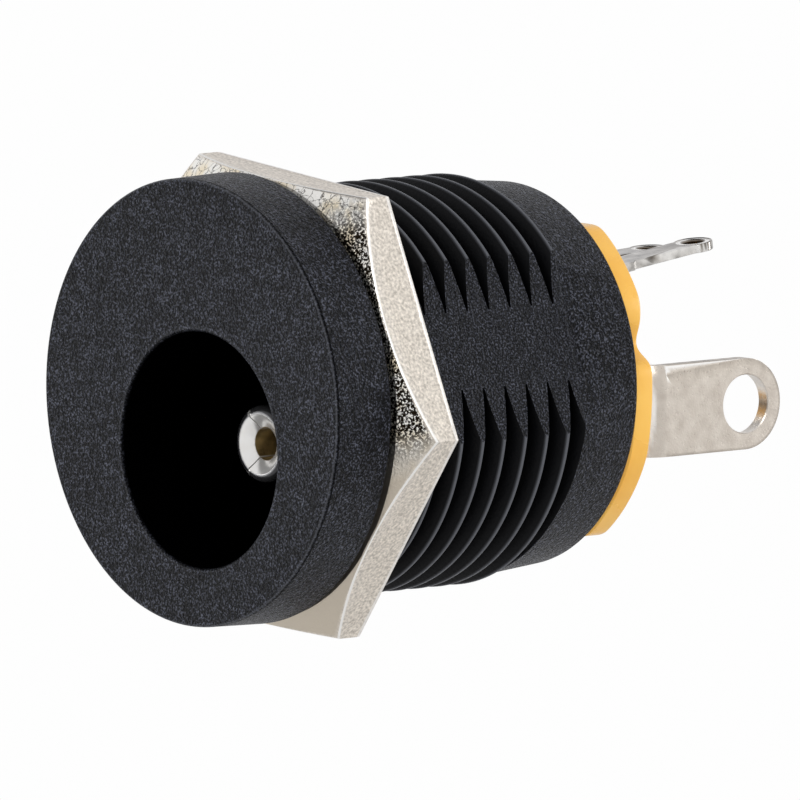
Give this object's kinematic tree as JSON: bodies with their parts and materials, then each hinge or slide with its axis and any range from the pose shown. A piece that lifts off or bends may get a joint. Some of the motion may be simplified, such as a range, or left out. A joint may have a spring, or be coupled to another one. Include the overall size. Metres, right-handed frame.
{
  "type": "dc barrel jack",
  "caption": "Panel-mount barrel power socket: round flange, flatted threaded barrel, hex nut, hollow centre pin, orange rear insulator and solder lugs.",
  "frame": {"origin": "on the thread axis, where the rear face of the flange seats on the panel", "axes": "+Y along the thread axis from the socket to the solder tags, +Z away from the side to which the socket is offset, barrel flats facing +X and -X"},
  "size_m": [0.013, 0.0175, 0.0138],
  "materials": {
    "housing_plastic": "fine moulded grain",
    "nut_nickel": "nickel plated, coarse chamfer",
    "insulator_resin": "smooth moulded",
    "pin_nickel": "bright nickel plated",
    "lug_nickel": "satin nickel plated",
    "contact_nickel": "bright nickel plated"
  },
  "bodies": {
    "jack": {"housing": "housing_plastic", "rear_insulator": "insulator_resin", "centre_pin": "pin_nickel", "centre_terminal": "lug_nickel", "sleeve_spring": "contact_nickel", "switch_contact": "contact_nickel"},
    "nut": {"hex_nut": "nut_nickel"}
  },
  "joints": [
    {"name": "nut_travel", "type": "slide", "parent": "jack", "child": "nut", "axis": [0, 1, 0], "range_m": [0, 0.017]}
  ]
}
